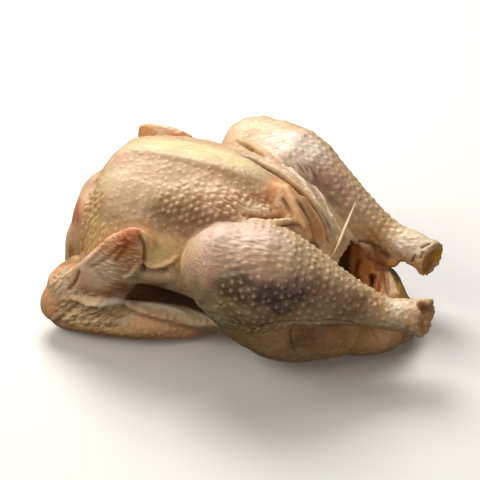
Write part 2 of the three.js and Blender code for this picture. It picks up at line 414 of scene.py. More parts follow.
LINE_FADE = 0.15
TERRACE_FADE = 0.2


class Stroke:
    """A line over the skin, and how far the corners near it lie to its left and along it."""

    def __init__(self, canvas, path, reach):
        path = canvas.laid(path)
        low, high = path.min(0) - reach, path.max(0) + reach
        self.near = np.flatnonzero(((canvas.places > low) & (canvas.places < high)).all(1))
        points, facing = canvas.places[self.near], canvas.normals[self.near]
        steps = np.linalg.norm(np.diff(path, axis=0), axis=1)
        before = np.concatenate([[0], np.cumsum(steps)])
        nearest = np.full(len(points), np.inf)
        self.across = np.zeros(len(points))
        self.along = np.zeros(len(points))
        for i, step in enumerate(steps):
            if step < 1e-6:
                continue
            ahead = (path[i + 1] - path[i]) / step
            t = np.clip((points - path[i]) @ ahead, 0, step)
            offset = points - path[i] - t[:, None] * ahead
            distance = np.linalg.norm(offset, axis=1)
            nearer = distance < nearest
            nearest = np.where(nearer, distance, nearest)
            sign = np.sign(np.einsum("ij,ij->i", offset, unit(np.cross(facing, ahead))))
            self.across = np.where(nearer, sign * distance, self.across)
            self.along = np.where(nearer, (before[i] + t) / before[-1], self.along)

    def fade(self, share):
        """A fade to nothing over a share of the way at each end."""
        return ramp(self.along, 0, share) * ramp(self.along, 1, 1 - share)

    def mask(self, width):
        return np.exp(-((self.across / width) ** 2)) * self.fade(LINE_FADE)


class Relief:
    """Moves drawn over the skin, which are gathered first and made together."""

    def __init__(self, canvas):
        self.canvas = canvas
        self.places = canvas.places
        self.moves = np.zeros_like(self.places)

    def lift(self, heights, near=slice(None)):
        self.moves[near] += self.canvas.normals[near] * heights[:, None]

    def line(self, path, width, height):
        """A rounded ridge, or a groove where the height is negative."""
        stroke = Stroke(self.canvas, path, 3 * width)
        self.lift(height * stroke.mask(width), stroke.near)

    def terrace(self, path, height, slope, reach):
        """A step up to the left of the path, which sinks back within its reach."""
        stroke = Stroke(self.canvas, path, reach)
        above = np.clip(stroke.across, 0, None)
        heights = height * ramp(stroke.across, -slope, slope) * ramp(above, reach, 0.4 * reach)
        self.lift(heights * stroke.fade(TERRACE_FADE), stroke.near)


# ---- Colours ----

LEMON = rgb(240, 226, 172)
CREAM = rgb(240, 216, 178)
IVORY = rgb(244, 226, 196)
BEIGE = rgb(218, 186, 146)
TAN = rgb(198, 158, 112)
MAUVE = rgb(160, 122, 98)
ROSE = rgb(232, 176, 150)
APRICOT = rgb(230, 166, 100)
GOLD = rgb(204, 158, 92)
OCHRE = rgb(168, 122, 62)
UMBER = rgb(116, 72, 38)
LILAC = rgb(184, 142, 128)
MILK = rgb(250, 230, 214)
LEG = rgb(224, 194, 178)
OLIVE = rgb(142, 122, 76)
BRUISE = rgb(75, 61, 19)
PURPLE = rgb(57, 41, 31)
WING = rgb(232, 172, 122)
RED = rgb(196, 84, 50)
SHADE = rgb(66, 34, 14)
# Deep red-brown painted shade, laid along the deepest creases.
CREASE_SHADE = rgb(112, 42, 22)
MEAT = rgb(238, 162, 84)
FAT = rgb(246, 182, 78)
PALE = rgb(246, 224, 178)
TIP = rgb(200, 100, 36)
# Ochre thigh skin darkened with painted shade; also laid as shade on the bulge under the flap by the wing.
THIGH_SKIN_IN_SHADE = rgb(114, 78, 32)
VENT = rgb(154, 78, 30)
STRAW = rgb(250, 218, 152)
PEACH = rgb(242, 190, 140)
RUSSET = rgb(160, 92, 48)
BROWN = rgb(136, 98, 61)
RIGHT_CUT = rgb(164, 112, 60)
LEFT_CUT = rgb(184, 118, 46)
BONE = rgb(240, 180, 118)
TENDON = rgb(244, 210, 166)
HAIR = rgb(230, 206, 160)


# ---- Folds and wrinkles ----

KEEL_EDGE = [(-78, -5, 101), (-45, -11, 104), (-12, -13, 101), (13, -13, 93)]
KEEL_FAR_EDGE = [(x, 12 - 0.3 * y, z) for x, y, z in reversed(KEEL_EDGE)]
KEEL_STEP = (1.0, 2.2, 14)  # height, slope and reach


def fan(first, last, count, width, height, tone, strength):
    """Lines spread between two guide lines, no two alike."""
    chance = np.random.default_rng(SEED + count)
    first, last = np.array(first, float), np.array(last, float)
    lines = []
    for share in (np.arange(count) + chance.uniform(-0.2, 0.2, count)) / (count - 1):
        wide, high = chance.uniform(0.75, 1.25, 2)
        path = first + share * (last - first)
        path[-1] += chance.uniform(-0.2, 0.2) * (path[-1] - path[-2])
        lines.append((width * wide, height * high, tone, strength, path))
    return lines


# Ridges and grooves drawn over the skin: half width, height, colour and its strength, and path. The dark
# colours laid along the grooves are mostly painted shade in the creases, and the pale ones along the ridges
# are partly painted highlights.
LINES = [
    # the skin gathered between the left leg and the breast
    *fan([(2, 20, 93), (24, 8, 90), (42, -3, 79), (52, -9, 65)],
         [(24, 36, 87), (38, 27, 77), (47, 14, 67), (56, -4, 60)], 9, 0.8, -1.2, MAUVE, 0.75),
    (1.3, -1.4, OCHRE, 0.6, [(-15, 42, 90), (-1, 34, 86), (12, 17, 91)]),
    (1.1, -0.9, OCHRE, 0.6, [(-20, 44, 89), (-5, 37, 87)]),
    (1.5, 1.3, CREAM, 0.5, [(-8, 19, 96), (15, 8, 95), (38, -3, 82), (46, -4, 74)]),
    (1.4, 1.8, IVORY, 0.75, [(-1, 39, 91), (20, 24, 84), (40, 3, 79), (54, -10, 58)]),
    (1.2, 1.5, IVORY, 0.7, [(29, 32, 85), (37, 21, 75), (50, 0, 66)]),
    (1.2, -3.4, CREASE_SHADE, 1.0, [(-10, 11, 99), (4, 8, 96), (22, 2, 92), (44, -8, 76), (52, -14, 59)]),
    # the folds above the vent
    (1.5, -2.8, CREASE_SHADE, 1.0, [(31, -14, 89), (40, -18, 79), (44, -19, 66)]),
    (1.2, -1.8, CREASE_SHADE, 0.7, [(22, -13, 90), (31, -23, 82)]),
    (1.9, -2.2, RUSSET, 0.8, [(2, -32, 86), (16, -28, 84), (29, -20, 82)]),
    (1.3, -1.6, CREASE_SHADE, 0.7, [(24, -39, 86), (33, -26, 80), (38, -23, 76)]),
    (2.3, 3.0, PEACH, 0.8, [(21, -6, 94), (30, -16, 88), (40, -24, 75)]),
    (1.7, 2.4, PEACH, 0.8, [(31, -6, 89), (43, -10, 77), (51, -12, 64)]),
    (1.5, 1.6, CREAM, 0.8, [(6, -38, 87), (20, -34, 86), (31, -25, 81)]),
    # the thigh
    # Painted shadow: the umber groove under the overhanging lower edge of the drumstick.
    (1.2, -1.8, UMBER, 0.9, [(19, -75, 37), (30, -77, 47), (50, -68, 45), (69, -58, 41), (88, -34, 20)]),
    (0.8, -1.0, UMBER, 0.6, [(44, -71, 45), (41, -70, 35), (43, -66, 20)]),
    # the right wing: the rim, cleft and edge of its hand, and the web of its bend
    (1.5, 1.2, PEACH, 0.9, [(-84, -56, 53), (-71, -57, 68), (-60, -51, 78), (-50, -56, 81)]),
    (1.3, -0.8, RUSSET, 0.6, [(-80, -57, 52), (-68, -58, 62), (-57, -57, 73)]),
    (1.2, -1.6, RUSSET, 0.7, [(-85, -56, 51), (-88, -56, 42), (-94, -55, 33)]),
    (1.8, -0.8, RUSSET, 0.8, [(-54, -57, 77), (-57, -58, 70), (-63, -59, 60)]),
    (1.3, 1.2, CREAM, 0.9, [(-49, -57, 62), (-53, -58, 55), (-59, -58, 49)]),
    (2.0, 1.8, PEACH, 0.8, [(-99, -55, 27), (-86, -56, 31), (-76, -57, 33), (-67, -56, 32)]),
    # Painted shade: the umber groove where the hand's edge lies against the breast.
    (1.3, -2.4, UMBER, 0.7, [(-50, -54, 81), (-45, -57, 72), (-46, -57, 62), (-48, -56, 53)]),
    # the forearm: the folds that run down from its top edge, and that edge, whose pale crests are partly
    # painted highlights
    *fan([(-46, -50, 25), (-56, -53, 20), (-64, -54, 14)],
         [(-86, -56, 28), (-96, -56, 20), (-104, -56, 12)], 7, 1.9, 0.9, CREAM, 0.8),
    *fan([(-51, -50, 26), (-61, -53, 20), (-69, -54, 13)],
         [(-83, -56, 28), (-93, -56, 20), (-101, -56, 12)], 6, 1.3, -0.7, OCHRE, 0.6),
    (2.2, 2.0, IVORY, 0.9, [(-86, -57, 29), (-70, -57, 33), (-53, -48, 27), (-36, -44, 24), (-20, -45, 20)]),
    # the flap of skin between the breast and the wing
    (1.5, 2.0, PEACH, 0.8, [(-49, -56, 63), (-43, -56, 59), (-37, -55, 60), (-31, -54, 63), (-27, -53, 68)]),
    # Painted shadow under the flap of skin.
    (2.2, -1.2, UMBER, 0.5, [(-50, -55, 57), (-42, -55, 55), (-32, -54, 58)]),
    # the slits about the left ankle
    (0.8, -1.6, CREASE_SHADE, 0.9, [(101, 17, 46), (100, 15, 41)]),
    (0.8, -1.2, UMBER, 0.8, [(97, 17, 43), (93, 17, 35)]),
    (0.9, -1.2, UMBER, 0.8, [(99, 19, 46), (105, 24, 48)]),
    # the rim of fat below the vent
    (2.8, 2.4, STRAW, 0.5, [(82, 19, 31), (84, 9, 28), (88, 2, 27), (92, -5, 25)]),
    (3.2, 3.2, VENT, 0.9, [(74, 13, 30), (77, 8, 28), (78, 1, 27), (79, -8, 26)]),
    (1.5, -2.8, SHADE, 1.0, [(71, 12, 29), (73, 6, 27), (73, -1, 26)]),
    (1.1, -1.2, RUSSET, 0.9, [(79, 12, 29), (82, 6, 28), (84, -1, 27), (85, -7, 26)]),
    (1.1, -1.6, UMBER, 0.8, [(58, 19, 41), (64, 20, 46), (73, 24, 40), (83, 19, 36)]),
]

# Fields of fine wrinkles: centre, radii, height, way, and the length and width of each.
WRINKLES = [
    ((2, -28, 90), (30, 13, 13), 1.0, (1, -0.25, -0.35), 8, 2.6),
    ((21, -24, 86), (14, 14, 12), 1.0, (1, -0.25, -0.5), 8, 2.4),
    ((22, 30, 85), (28, 14, 14), 0.45, (0.5, -0.5, -0.7), 20, 2.0),
    ((-8, -74, 76), (14, 12, 20), 0.25, (0.4, -0.3, -1), 14, 2.6),
    ((30, -76, 44), (16, 14, 10), 0.7, (-0.5, 0.1, -1), 14, 2.6),
    ((75, -45, 28), (28, 24, 20), 0.45, (0.25, -0.3, 1), 18, 2.4),
    ((14, -82, 44), (40, 20, 20), 0.4, (0.7, 0, -0.7), 9, 2.6),
    ((-97, -53, 38), (14, 12, 16), 0.8, (0.6, 0, 0.8), 10, 2.2),
    ((-80, -56, 34), (20, 12, 8), 0.9, (1, 0, 0.2), 5, 2.4),
    ((-80, -57, 20), (32, 12, 12), 1.5, (0.8, 0, 0.55), 7, 3.4),
    ((-60, -58, 62), (22, 12, 30), 0.7, (1, 0, -0.1), 11, 1.7),
    ((-60, 48, 86), (22, 10, 10), 0.4, (1, 0, 0.1), 9, 2.0),
    ((84, 24, 48), (26, 18, 12), 0.35, (1, 0.1, -0.5), 14, 2.0),
    ((100, -40, 40), (20, 16, 16), 0.4, (0.3, 0, 1), 8, 2.4),
]

# Lumps and hollows: centre, radii and height.
LUMPS = [
    ((-54, 48, 88), (5, 5, 5), 2.2), ((44, -23, 67), (4, 4, 5), -3.0),
    ((109, -38, 45), (5, 5, 5), -3.0), ((-85, -57, 19), (5, 5, 4), 1.6),
    ((-68, -55, 17), (5, 5, 4), 1.6), ((-92, -57, 16), (4, 4, 4), 1.4),
    ((-40, -57, 52), (14, 8, 6), 1.5), ((-20, -48, 86), (14, 8, 8), -0.8),
    ((-78, -57, 31), (16, 8, 4), 2.0), ((98, 4, 28), (9, 16, 14), -2.5),
]


def sculpt_fields(relief):
    laid = shaken(relief.places, 13, 1.6, 30)
    for i, (centre, radii, height, way, length, width) in enumerate(WRINKLES):
        wrinkles = swells(streaks(laid, way, length, width, 31 + i))
        relief.lift(spot(relief.places, centre, radii) * height * wrinkles)
    for centre, radii, height in LUMPS:
        relief.lift(spot(relief.places, centre, radii) * height)


CAVITY_MIDDLE = (66, 6, 36)
RIPPLE_HEIGHT = 0.8
RIPPLE_SPACING = 5


def sculpt_cavity(relief, regions):
    """Ripples in the flesh round the middle of the cavity."""
    reach = np.linalg.norm((shaken(relief.places, 12, 3, 60) - CAVITY_MIDDLE) / (1, 1, 0.8), axis=1)
    relief.lift(regions.inside * RIPPLE_HEIGHT * np.sin(reach * 2 * math.pi / RIPPLE_SPACING))


# The cut end of a leg: the radii that its hollow starts and levels out at, the rim of skin round it, and
# the collar behind it where the skin draws in.
CUP_RADII = (9.4, 6.2)
RIM_RADIUS = 10
RIM_WIDTH = 1.8
COLLAR_PLACE = 6
COLLAR_WIDTH = 3


def sculpt_ankle(relief, bones):
    """Hollows out the cut end of a leg, and returns how far each corner lies in the hollow."""
    ahead = unit(bones["cut_facing"])
    offset = relief.places - bones["cut"]
    beyond = offset @ ahead
    radial = np.linalg.norm(offset - beyond[:, None] * ahead, axis=1)
    uneven = noise(relief.places, 5, 70)
    cup = ramp(radial, CUP_RADII[0] + uneven, CUP_RADII[1] + uneven) * ramp(beyond, -5, -0.5)
    rim = np.exp(-(((radial - RIM_RADIUS) / RIM_WIDTH) ** 2)) * ramp(beyond, -2.5, 1) * (0.5 + 1.2 * uneven)
    relief.moves += ahead * (rim - bones["cup_depth"] * cup)[:, None]
    collar = np.exp(-(((beyond + COLLAR_PLACE) / COLLAR_WIDTH) ** 2)) * ramp(radial, 15, 13)
    relief.lift(collar * (0.9 * noise(relief.places, 6, 71) - 0.4))
    return cup


def sculpt_everywhere(relief, regions):
    """The slack of the skin: shallow waves, and small wrinkles along the legs."""
    relief.lift(0.7 * noise(relief.places, 17, 80) + 0.3 * noise(relief.places, 8, 82))
    legs = regions.share("right drumstick") + regions.share("left drumstick")
    relief.lift(legs * 0.18 * swells(streaks(relief.places, (0.95, 0.1, -0.25), 16, 2.0, 84)))


# ---- Follicles ----

# Where the follicles differ from those around them: centre and radii.
ZONES = {
    "bristles": ((-97, -30, 54), (30, 44, 40)),
    "blisters": ((-14, -33, 90), (30, 15, 12)),
    "leg top": ((10, -66, 84), (34, 18, 12)),
    "scales": ((66, 28, 60), (26, 24, 18)),
}


# As shares of the spacing in a ring: how far a follicle strays from its place, and the way between rings.
JITTER = 0.13
ROW_SPACING = 0.87


class Tract(NamedTuple):
    """Feather follicles in staggered rings round a limb, in one zone of it or outside every zone.

    Each is a small mound of a radius and a height, drawn out along its grain where stretch is over 1."""

    limb: str
    spacing: float
    height: float
    radius: float
    stretch: float = 1.0
    grain: tuple = (0, 0, 1)
    zone: str = ""

    def centres(self, chance):
        limb = LIMBS[self.limb]
        rows = round(limb.length / (self.spacing * ROW_SPACING))
        for row in range(rows + 1):
            count = round(limb.girth(row / rows) / self.spacing)
            for i in range(count):
                wobble, drift = chance.normal(0, JITTER, 2)
                angle = -math.pi + 2 * math.pi * (i + 0.5 * (row % 2) + wobble) / count
                yield limb.skin_point(np.clip(row / rows + drift * self.spacing / limb.length, 0, 1), angle)

    def mound(self, offset, radius):
        """How far corners at an offset from a follicle lie on it, from 0 to 1."""
        drawn = offset @ unit(self.grain)
        across = np.maximum((offset**2).sum(1) - drawn**2 * (1 - self.stretch**-2), 0)
        return np.exp(-((np.sqrt(across) / radius) ** 2.4))


TRACTS = [
    Tract("trunk", 4.6, 0.35, 1.0),
    Tract("trunk", 4.2, 0.75, 1.4, zone="blisters"),
    Tract("trunk", 3.5, 1.3, 1.0, 2.4, (0.15, 0, 1), zone="bristles"),
    Tract("right drumstick", 5.0, 0.8, 1.2),
    Tract("right drumstick", 4.8, 0.45, 1.2, 1.8, (0.97, 0, 0.1), zone="leg top"),
    Tract("left drumstick", 5.2, 0.5, 1.3),
    Tract("left drumstick", 5.0, 0.65, 1.6, zone="scales"),
    Tract("right thigh", 5.4, 0.2, 1.1),
    Tract("left thigh", 5.0, 0.3, 1.2),
    Tract("right forearm", 4.8, 0.4, 1.2),
    Tract("left forearm", 4.8, 0.4, 1.2),
    Tract("left hand", 4.0, 0.25, 0.9),
    Tract("left upper wing", 5.0, 0.5, 1.3),
    Tract("neck skin", 3.4, 1.3, 0.9, 2.4, zone="bristles"),
    Tract("neck skin", 3.6, 0.5, 0.9),
    Tract("rump", 5.5, 0.25, 1.2),
]
# Where the follicles hardly show: centre, radii and the share that is lost.
BARE = [
    ((-30, 3, 104), (56, 15, 14), 1.0), ((20, 0, 90), (26, 18, 14), 1.0),
    ((30, -14, 84), (18, 14, 16), 0.9), ((-92, -6, 88), (26, 26, 22), 0.5),
    ((-40, -52, 78), (34, 12, 13), 0.6), ((0, 44, 96), (32, 30, 18), 0.95),
    ((28, 24, 82), (28, 16, 16), 0.8), ((100, 26, 46), (16, 14, 12), 0.9),
    ((-10, -64, 80), (14, 18, 16), 0.7), ((2, -80, 44), (26, 18, 18), 0.6),
    ((64, -55, 34), (34, 22, 18), 0.9), ((-40, -56, 52), (24, 12, 12), 1.0),
    ((34, -70, 34), (34, 18, 18), 0.75), ((-96, -50, 34), (14, 14, 18), 1.0),
    ((102, -38, 40), (20, 18, 18), 0.8),
]


def bareness(points):
    """The share of the follicles that is lost at each point."""
    laid = shaken(points, 14, 4, 90)
    return np.max([share * spot(laid, centre, radii) for centre, radii, share in BARE], axis=0)


def zone_masks(points):
    """How far each point lies in each zone, by name, and outside them all, under an empty name."""
    laid = shaken(points, 12, 4, 94)
    masks = {name: spot(laid, *zone, (1.1, 0.9)) for name, zone in ZONES.items()}
    return masks | {"": 1 - np.max(list(masks.values()), axis=0)}


FOLLICLE_RANGE = ((0.7, 0, 0.4), (1.25, 1, 1))  # least and greatest size, luck and brightness
SPARED = 0.2  # luck up to which a follicle shows on bare skin
FAINTEST = 0.15  # strength
FARTHEST = 5  # mm from its place on the limb to the skin


def grow_follicles(surface, regions, tree):
    """Raises the follicles, and returns how far each corner lies on one, from 0 to 1."""
    chance = np.random.default_rng(SEED + 2)
    places = surface.places
    knobs = np.zeros(len(places))
    heights = np.zeros(len(places))
    shown = (1 - bareness(places)) * (1 - regions.inside) * (1 - regions.gap)
    zones = zone_masks(places)
    for tract in TRACTS:
        own = regions.share(tract.limb, 1.5) * zones[tract.zone]
        for centre in tract.centres(chance):
            place, index, gap = tree.find(centre)
            size, luck, bright = chance.uniform(*FOLLICLE_RANGE)
            strength = min(1, 1.5 * own[index]) * math.sqrt(shown[index])
            if gap > FARTHEST or strength < FAINTEST or luck > shown[index] + SPARED:
                continue
            radius = tract.radius * (0.75 + 0.25 * size)
            near = np.array([other for _, other, _ in tree.find_range(place, 2 * radius * tract.stretch)])
            knob = tract.mound(places[near] - places[index], radius) * (0.35 + 0.65 * strength)
            knobs[near] = np.maximum(knobs[near], knob * bright)
            heights[near] = np.maximum(heights[near], knob * tract.height * size * strength)
    surface.places += surface.normals() * heights[:, None]
    return knobs


# ---- The colours of the skin ----

# Patches of colour: centre, radii, colour and strength. Later ones lie over earlier ones.
TRUNK_PATCHES = [
    # Partly painted shade: the tan and brown that darken the breast's near side.
    ((-30, -44, 84), (60, 26, 30), TAN, 0.9),
    ((-22, -40, 86), (48, 18, 14), BROWN, 0.95),
    ((-84, -36, 70), (34, 26, 26), GOLD, 0.7),
    ((-92, -44, 44), (26, 24, 18), OCHRE, 0.8),
    ((-34, -54, 66), (36, 14, 14), STRAW, 0.95),
    ((-80, -42, 68), (22, 14, 18), STRAW, 0.45),
    ((-72, -16, 98), (24, 18, 12), CREAM, 0.5),
    ((-30, 3, 104), (62, 15, 14), LEMON, 0.95),
    ((-72, -11, 100), (9, 8, 8), ROSE, 0.7),
    ((-99, -18, 64), (8, 14, 18), RED, 0.7),
    ((-94, -6, 80), (12, 26, 14), ROSE, 0.4),
    # Painted shadow: the ochre strip just below the keel's raised edge.
    ((-8, -14, 98), (40, 8, 8), OCHRE, 0.4),
    ((4, -28, 90), (34, 15, 14), ROSE, 0.5),
    ((4, -19, 93), (26, 9, 10), UMBER, 0.25),
    ((10, -30, 87), (18, 10, 10), CREAM, 0.7),
    ((26, -10, 86), (26, 20, 20), APRICOT, 0.85),
    ((11, -18, 90), (28, 10, 9), RUSSET, 0.85),
    ((42, -16, 70), (14, 14, 14), APRICOT, 0.9),
    ((26, -13, 87), (11, 10, 9), CREAM, 0.7),
    ((44, -22, 66), (5, 5, 6), SHADE, 0.9),
    # Painted shade on the bulge under the flap of skin by the wing.
    ((-36, -56, 46), (24, 10, 10), THIGH_SKIN_IN_SHADE, 0.75),
    ((-74, -40, 80), (15, 10, 10), BROWN, 0.4),
]
LIMB_PATCHES = [
    # the left leg
    ((0, 48, 96), (40, 30, 20), CREAM, 0.8),
    ((16, 16, 92), (30, 14, 12), CREAM, 0.7),
    ((20, 40, 92), (30, 20, 15), MILK, 1),
    ((40, 30, 78), (28, 18, 20), LILAC, 0.8),
    ((62, 30, 62), (26, 20, 18), LILAC, 0.35),
    ((46, 27, 73), (22, 12, 14), MAUVE, 0.4),
    ((43, 27, 73), (16, 12, 12), UMBER, 0.3),
    ((77, 21, 50), (13, 10, 9), RUSSET, 0.9),
    ((77, 21, 50), (10, 8, 8), RED, 0.3),
    ((72, 17, 33), (15, 9, 10), VENT, 0.95),
    ((84, 17, 34), (6, 6, 5), FAT, 0.8),
    ((97, 2, 28), (9, 26, 16), FAT, 0.85),
    ((93, 8, 21), (10, 16, 11), FAT, 0.95),
    ((76, 24, 51), (20, 16, 12), GOLD, 0.6),
    # Painted light, with the skin's own pale tone: this ivory patch and the milk one two lines on brighten
    # the underside of the left shank above its cut end.
    ((92, 26, 48), (22, 18, 12), IVORY, 0.9),
    ((84, 21, 46), (6, 5, 4), ROSE, 0.8),
    ((90, 20, 45), (12, 8, 7), MILK, 0.95),
    ((104, 18, 34), (14, 12, 12), APRICOT, 0.6),
    ((110, 31, 38), (6, 8, 14), FAT, 0.9),
    # the right leg
    ((10, -56, 88), (40, 22, 20), LEG, 0.9),
    ((-8, -70, 76), (12, 16, 18), ROSE, 0.45),
    ((12, -70, 84), (34, 14, 10), LILAC, 0.35),
    ((30, -76, 68), (54, 18, 24), LILAC, 0.85),
    ((2, -76, 48), (42, 24, 30), OLIVE, 0.95),
    ((-2, -76, 50), (18, 14, 20), CREAM, 0.3),
    ((40, -74, 56), (30, 14, 12), OLIVE, 0.6),
    ((12, -80, 71), (21, 12, 12), BRUISE, 0.85),
    ((38, -76, 66), (34, 15, 16), PURPLE, 0.9),
    ((62, -62, 62), (26, 16, 14), MAUVE, 0.7),
    ((56, -64, 62), (26, 14, 18), UMBER, 0.3),
    ((71, -54, 52), (24, 14, 14), BROWN, 0.8),
    ((92, -46, 48), (18, 14, 12), PEACH, 0.7),
    ((99, -43, 46), (14, 12, 12), IVORY, 0.9),
    ((104, -45, 42), (10, 10, 8), APRICOT, 0.5),
    ((109, -38, 45), (6, 6, 5), RUSSET, 0.95),
    ((34, -69, 30), (16, 16, 18), TAN, 0.6),
    # The thigh under the drumstick's edge: its own skin tone with painted shade.
    ((62, -66, 32), (24, 16, 16), THIGH_SKIN_IN_SHADE, 0.9),
    ((46, -66, 34), (18, 12, 12), UMBER, 0.35),
    ((78, -46, 24), (26, 22, 16), GOLD, 0.8),
    ((69, -56, 30), (10, 12, 16), RUSSET, 0.45),
    ((92, -34, 18), (16, 20, 14), PEACH, 0.7),
    ((103, -18, 10), (6, 6, 4), RED, 0.5),
    # the end of the left wing
    ((-64, 48, 87), (10, 10, 7), CREAM, 0.8),
    ((-58, 47, 85), (8, 9, 4), RED, 0.5),
    ((-48, 48, 90), (12, 10, 6), CREAM, 0.8),
    # the bend and the forearm of the right wing
    ((-94, -54, 36), (18, 12, 18), CREAM, 0.8),
    ((-64, -57, 42), (14, 10, 9), RUSSET, 0.7),
    ((-74, -55, 20), (40, 14, 14), STRAW, 0.7),
    ((-40, -54, 18), (34, 14, 12), PEACH, 0.8),
    ((-60, -52, 6), (50, 14, 6), OCHRE, 0.5),
    # Painted light on the forearm's top edge, which lies in the shadow of the hand.
    ((-70, -56, 31), (26, 8, 6), MILK, 0.85),
]
# These lie only on the hand of the right wing.
HAND_PATCHES = [
    ((-76, -58, 56), (24, 10, 18), IVORY, 0.75),
    ((-54, -57, 66), (10, 10, 20), MAUVE, 0.5),
    ((-57, -57, 74), (10, 10, 10), TIP, 0.85),
    ((-54, -57, 80), (10, 8, 7), TIP, 0.8),
    ((-82, -58, 46), (10, 10, 10), ROSE, 0.4),
    ((-41, -56, 70), (5.5, 12, 19), STRAW, 0.95),
]


SMALL_PATCH = 12  # the greatest radius of a patch that is laid out precisely
DEEP_CAVITY_SHADE = (71, 55)  # x between which painted shade darkens the cavity towards its depths
LIT_GAP = (-34, -58)  # x between which the painted shade in the wing's hollow gives way to warmer painted light


def paint(colour, mask, target):
    colour += mask[:, None] * (target - colour)


def paint_patches(colour, precise, loose, patches, share=1):
    """Paints patches, the small ones with precise edges and the others with loose ones."""
    for centre, radii, target, strength in patches:
        laid = loose if max(radii) > SMALL_PATCH else precise
        paint(colour, spot(laid, centre, radii) * strength * share, target)


def paint_limbs(colour, regions):
    for side in ("right", "left"):
        for part in ("forearm", "hand", "upper wing"):
            paint(colour, regions.share(f"{side} {part}", 1.5), WING)
        paint(colour, regions.share(f"{side} thigh") * 0.8, OCHRE)
    paint(colour, regions.share("wing web") * 0.8, RUSSET)
    paint(colour, regions.share("rump") * 0.8, OCHRE)


def paint_mottling(colour, points):
    streaked = streaks(shaken(points, 12, 3, 107), (0.6, 0, -0.8), 9, 3, 108)
    paint(colour, ramp(streaked, 0.1, 0.9) * 0.3, BROWN)
    mottle = layered_noise(points, 11, 106)
    paint(colour, ramp(mottle, 0, 0.9) * 0.25, ROSE)
    paint(colour, ramp(mottle, 0, -0.9) * 0.2, CREAM)


def paint_hollow_shade_and_highlights(colour, surface):
    """Paints shade into what lies in narrow and broad hollows, and highlights onto what stands proud."""
    fine = surface.hollowness(4)
    broad = surface.hollowness(22)
    paint(colour, ramp(fine, 0.03, 0.3) * 0.4, MAUVE * 0.7)
    paint(colour, ramp(-fine, 0.04, 0.3) * 0.3, PALE)
    paint(colour, ramp(broad, 0.3, 2.2) * 0.35, UMBER)
    paint(colour, ramp(-broad, 0.3, 1.5) * 0.2, PALE)


def paint_lines(colour, canvas):
    for width, _, target, strength, path in LINES:
        stroke = Stroke(canvas, path, 3 * width)
        mask = np.zeros(len(colour))
        mask[stroke.near] = stroke.mask(width) * strength
        paint(colour, mask, target)


def skin_colours(surface, regions, canvas, knobs, cuts):
    points = surface.places
    colour = np.tile(BEIGE, (len(points), 1))
    precise = shaken(points, 5, 1.2, 103)
    loose = shaken(precise, 16, 5, 100)
    paint_patches(colour, precise, loose, TRUNK_PATCHES)
    paint_limbs(colour, regions)
    for cup, tone in zip(cuts, (RIGHT_CUT, LEFT_CUT)):
        paint(colour, cup, tone)
    paint_patches(colour, precise, loose, LIMB_PATCHES)
    paint_patches(colour, precise, loose, HAND_PATCHES, regions.share("right hand", 1.5))
    paint_mottling(colour, points)
    # Painted shade in the hollows and painted highlights on what stands proud.
    paint_hollow_shade_and_highlights(colour, surface)
    flesh = MEAT * (1 + 0.3 * layered_noise(points, 6, 110))[:, None]
    paint(colour, regions.inside, flesh)
    # Painted shade, darker deeper into the cavity.
    paint(colour, regions.inside * ramp(points[:, 0], *DEEP_CAVITY_SHADE) * 0.85, SHADE)
    paint_lines(colour, canvas)
    paint(colour, knobs * 0.6, 0.35 * STRAW + 0.85 * colour)
    # Painted shade in the hollow behind the right wing, and warmer painted light towards its lit end.
    paint(colour, regions.gap * 0.92, SHADE)
    paint(colour, regions.gap * ramp(points[:, 0], *LIT_GAP) * 0.5, RUSSET)
    return np.clip(colour, 0.01, 0.95)


# ---- Materials ----

MOIST = {
    "Subsurface Radius": (1.0, 0.45, 0.25),
    "Subsurface Scale": 0.0025,
    "Coat Weight": 0.08,
    "Coat Roughness": 0.25,
}


def fill(node, inputs):
    """Gives a node's inputs their values, or links them to the outputs of other nodes."""
    for name, value in inputs.items():
        if isinstance(value, bpy.types.NodeSocket):
            node.id_data.links.new(value, node.inputs[name])
        else:
            node.inputs[name].default_value = value


def add_node(tree, kind, inputs, **settings):
    """Adds a node and returns its outputs."""
    node = tree.nodes.new("ShaderNode" + kind)
    for name, value in settings.items():
        setattr(node, name, value)
    fill(node, inputs)
    return node.outputs


def add_grain(tree, scale, detail):
    place = add_node(tree, "TexCoord", {})["Object"]
    return add_node(tree, "TexNoise", {"Scale": scale, "Detail": detail, "Vector": place})["Fac"]


def material(name, inputs):
    new = bpy.data.materials.new(name)
    new.use_nodes = True
    shader = new.node_tree.nodes["Principled BSDF"]
    fill(shader, inputs)
    return new, shader


def moist_material(name, roughness, scatter, bump_scale, bump_depth):
    """A material with fine bumps and a thin wet coat, in which light spreads."""
    new, shader = material(name, {"Roughness": roughness, "Subsurface Weight": scatter, **MOIST})
    tree = new.node_tree
    grain = add_grain(tree, bump_scale, 3)
    bump = add_node(tree, "Bump", {"Strength": 0.5, "Distance": bump_depth, "Height": grain})
    fill(shader, {"Normal": bump["Normal"]})
    return new, tree, shader


def flesh_material(name, tone, roughness, scatter):
    """A moist material of one tone with fine darker mottling."""
    new, tree, shader = moist_material(name, roughness, scatter, 700, 0.0003)
    tones = {"A": (*(tone * 0.72), 1), "B": (*np.clip(tone * 1.15, 0, 1), 1)}
    blend = add_node(tree, "Mix", {**tones, "Factor": add_grain(tree, 420, 4)}, data_type="RGBA")
    fill(shader, {"Base Color": blend["Result"]})
    return new


